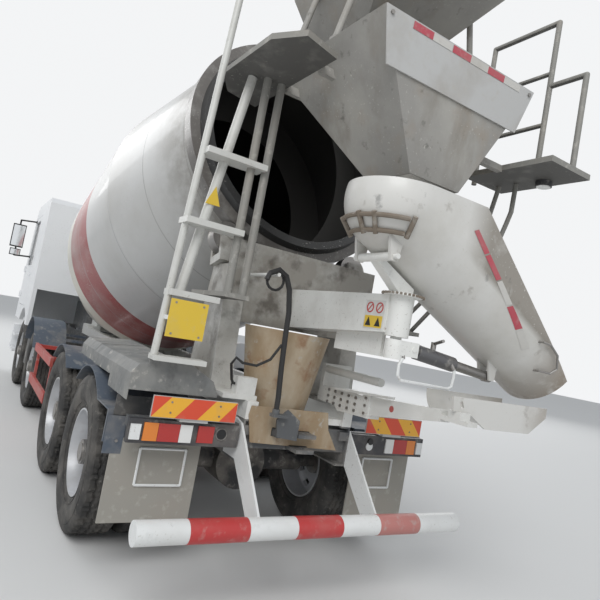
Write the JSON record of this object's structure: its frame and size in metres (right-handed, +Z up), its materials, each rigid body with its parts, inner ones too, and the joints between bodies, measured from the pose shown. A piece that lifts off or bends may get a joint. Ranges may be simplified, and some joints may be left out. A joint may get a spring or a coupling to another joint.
{
  "type": "concrete mixer truck",
  "caption": "Four-axle concrete mixer truck with tilting cab, turning drum on rollers, hoppers, and a swivelling, tilting discharge chute.",
  "frame": {"origin": "on the ground under the middle of the truck's length and width", "axes": "+X forward, +Y to the truck's left, +Z up"},
  "size_m": [9.5, 3.17, 4.0108],
  "materials": {
    "apron_tan": "rough, rusty",
    "axle_dark": "rough",
    "board_sheet": "satin",
    "box_dark": "matt",
    "cab_glass": "clear",
    "cab_white": "glossy",
    "chute_grey": "dirty, satin",
    "cover_grey": "rough, crumpled, dusty",
    "deck_metal": "rough",
    "drum_grey": "satin",
    "flap_rubber": "matt, muddy",
    "frame_grey": "satin",
    "guard_plastic": "matt, dusty",
    "guard_red": "satin",
    "hopper_grey": "dirty, rough",
    "hose_black": "matt",
    "jack_steel": "satin",
    "lamp_plastic": "glossy",
    "machine_grey": "satin",
    "rim_silver": "satin",
    "rod_steel": "polished",
    "roller_steel": "worn",
    "spring_dark": "rough",
    "support_white": "satin, dirty",
    "tank_metal": "satin",
    "trim_dark": "matt",
    "tyre_black": "matt"
  },
  "bodies": {
    "chassis": {"chassis_frame": "frame_grey", "drum_subframe": "support_white", "rear_support": "support_white", "drive_units": "machine_grey", "axles": "axle_dark", "leaf_springs": "spring_dark", "mudguards": "guard_plastic", "mudflaps": "flap_rubber", "side_guards": "guard_red", "rear_bumper": "support_white", "lamps": "lamp_plastic", "marker_boards": "board_sheet", "tanks": "tank_metal", "chassis_boxes": "box_dark", "feed_hopper": "hopper_grey", "discharge_hopper": "hopper_grey", "platforms": "deck_metal", "ladder": "support_white", "front_bumper": "cab_white", "spare_chute": "chute_grey", "splash_apron": "apron_tan", "wheel_cover": "cover_grey", "hoses": "hose_black"},
    "cab": {"cab_shell": "cab_white", "cab_interior": "trim_dark", "windscreen": "cab_glass"},
    "front_flap": {"front_panel": "cab_white"},
    "door_left": {"door_left": "cab_white", "door_glass_left": "cab_glass", "mirror_left": "trim_dark"},
    "door_right": {"door_right": "cab_white", "door_glass_right": "cab_glass", "mirror_right": "trim_dark"},
    "drum": {"drum": "drum_grey"},
    "roller_left": {"roller_left": "roller_steel"},
    "roller_right": {"roller_right": "roller_steel"},
    "chute_post": {"chute_post": "support_white"},
    "chute": {"chute": "chute_grey"},
    "jack_barrel": {"jack_barrel": "jack_steel"},
    "jack_rod": {"jack_rod": "rod_steel"},
    "knuckle_1L": {"knuckle_1L": "axle_dark"},
    "wheel_1L": {"tyre_1L": "tyre_black", "rim_1L": "rim_silver"},
    "knuckle_1R": {"knuckle_1R": "axle_dark"},
    "wheel_1R": {"tyre_1R": "tyre_black", "rim_1R": "rim_silver"},
    "knuckle_2L": {"knuckle_2L": "axle_dark"},
    "wheel_2L": {"tyre_2L": "tyre_black", "rim_2L": "rim_silver"},
    "knuckle_2R": {"knuckle_2R": "axle_dark"},
    "wheel_2R": {"tyre_2R": "tyre_black", "rim_2R": "rim_silver"},
    "wheels_3L": {"tyres_3L": "tyre_black", "rims_3L": "rim_silver"},
    "wheels_3R": {"tyres_3R": "tyre_black", "rims_3R": "rim_silver"},
    "wheels_4L": {"tyres_4L": "tyre_black", "rims_4L": "rim_silver"},
    "wheels_4R": {"tyres_4R": "tyre_black", "rims_4R": "rim_silver"}
  },
  "joints": [
    {"name": "cab_tilt", "type": "hinge", "parent": "chassis", "child": "cab", "pos_m": [4.58, 0, 0.95], "axis": [0, 1, 0], "range_deg": [0, 45]},
    {"name": "door_left_hinge", "type": "hinge", "parent": "cab", "child": "door_left", "pos_m": [4.508, 1.243, 1.4], "axis": [0, 0, -1], "range_deg": [0, 70]},
    {"name": "door_right_hinge", "type": "hinge", "parent": "cab", "child": "door_right", "pos_m": [4.508, -1.243, 1.4], "axis": [0, 0, 1], "range_deg": [0, 70]},
    {"name": "front_flap_hinge", "type": "hinge", "parent": "cab", "child": "front_flap", "pos_m": [4.722, 0, 1.905], "axis": [0, -1, 0], "range_deg": [0, 60]},
    {"name": "drum_spin", "type": "hinge", "parent": "chassis", "child": "drum", "pos_m": [-2.7, 0, 3.05], "axis": [-0.9646, 0, 0.2639], "continuous": true},
    {"name": "roller_left_spin", "type": "hinge", "parent": "chassis", "child": "roller_left", "pos_m": [-3.05214, 0.56664, 2.2062], "axis": [-0.9646, 0, 0.2639], "continuous": true},
    {"name": "roller_right_spin", "type": "hinge", "parent": "chassis", "child": "roller_right", "pos_m": [-3.05214, -0.56664, 2.2062], "axis": [-0.9646, 0, 0.2639], "continuous": true},
    {"name": "chute_swivel", "type": "hinge", "parent": "chassis", "child": "chute_post", "pos_m": [-4.4, 0, 1.8], "axis": [0, 0, 1], "range_deg": [-180, 0]},
    {"name": "chute_tilt", "type": "hinge", "parent": "chute_post", "child": "chute", "pos_m": [-4.4, 0.24, 2.115], "axis": [-1, 0, 0], "range_deg": [-2, 14]},
    {"name": "jack_barrel_hinge", "type": "hinge", "parent": "chute_post", "child": "jack_barrel", "pos_m": [-4.4, -0.1, 1.655], "axis": [-1, 0, 0], "range_deg": [-4, 22]},
    {"name": "jack_rod_slide", "type": "slide", "parent": "jack_barrel", "child": "jack_rod", "axis": [0, -0.9935, -0.1135], "range_m": [-0.02, 0.125]},
    {"name": "steer_1L", "type": "hinge", "parent": "chassis", "child": "knuckle_1L", "pos_m": [3.3, 0.86, 0.538], "axis": [0, 0, 1], "range_deg": [-35, 35]},
    {"name": "wheel_1L_spin", "type": "hinge", "parent": "knuckle_1L", "child": "wheel_1L", "pos_m": [3.3, 1.04, 0.538], "axis": [0, 1, 0], "continuous": true},
    {"name": "steer_1R", "type": "hinge", "parent": "chassis", "child": "knuckle_1R", "pos_m": [3.3, -0.86, 0.538], "axis": [0, 0, 1], "range_deg": [-35, 35]},
    {"name": "wheel_1R_spin", "type": "hinge", "parent": "knuckle_1R", "child": "wheel_1R", "pos_m": [3.3, -1.04, 0.538], "axis": [0, 1, 0], "continuous": true},
    {"name": "steer_2L", "type": "hinge", "parent": "chassis", "child": "knuckle_2L", "pos_m": [1.5, 0.86, 0.538], "axis": [0, 0, 1], "range_deg": [-22, 22]},
    {"name": "wheel_2L_spin", "type": "hinge", "parent": "knuckle_2L", "child": "wheel_2L", "pos_m": [1.5, 1.04, 0.538], "axis": [0, 1, 0], "continuous": true},
    {"name": "steer_2R", "type": "hinge", "parent": "chassis", "child": "knuckle_2R", "pos_m": [1.5, -0.86, 0.538], "axis": [0, 0, 1], "range_deg": [-22, 22]},
    {"name": "wheel_2R_spin", "type": "hinge", "parent": "knuckle_2R", "child": "wheel_2R", "pos_m": [1.5, -1.04, 0.538], "axis": [0, 1, 0], "continuous": true},
    {"name": "wheels_3L_spin", "type": "hinge", "parent": "chassis", "child": "wheels_3L", "pos_m": [-1.35, 1.1, 0.538], "axis": [0, 1, 0], "continuous": true},
    {"name": "wheels_3R_spin", "type": "hinge", "parent": "chassis", "child": "wheels_3R", "pos_m": [-1.35, -1.1, 0.538], "axis": [0, 1, 0], "continuous": true},
    {"name": "wheels_4L_spin", "type": "hinge", "parent": "chassis", "child": "wheels_4L", "pos_m": [-2.7, 1.1, 0.538], "axis": [0, 1, 0], "continuous": true},
    {"name": "wheels_4R_spin", "type": "hinge", "parent": "chassis", "child": "wheels_4R", "pos_m": [-2.7, -1.1, 0.538], "axis": [0, 1, 0], "continuous": true}
  ],
  "couplings": [
    {"joint": "roller_left_spin", "follows": "drum_spin", "ratio": -7.9083},
    {"joint": "roller_right_spin", "follows": "drum_spin", "ratio": -7.9083},
    {"joint": "jack_barrel_hinge", "follows": "chute_tilt", "ratio": 1.42},
    {"joint": "jack_rod_slide", "follows": "chute_tilt", "m_per_rad": 0.475},
    {"joint": "steer_1R", "follows": "steer_1L", "ratio": 1},
    {"joint": "steer_2L", "follows": "steer_1L", "ratio": 0.62},
    {"joint": "steer_2R", "follows": "steer_1L", "ratio": 0.62}
  ]
}
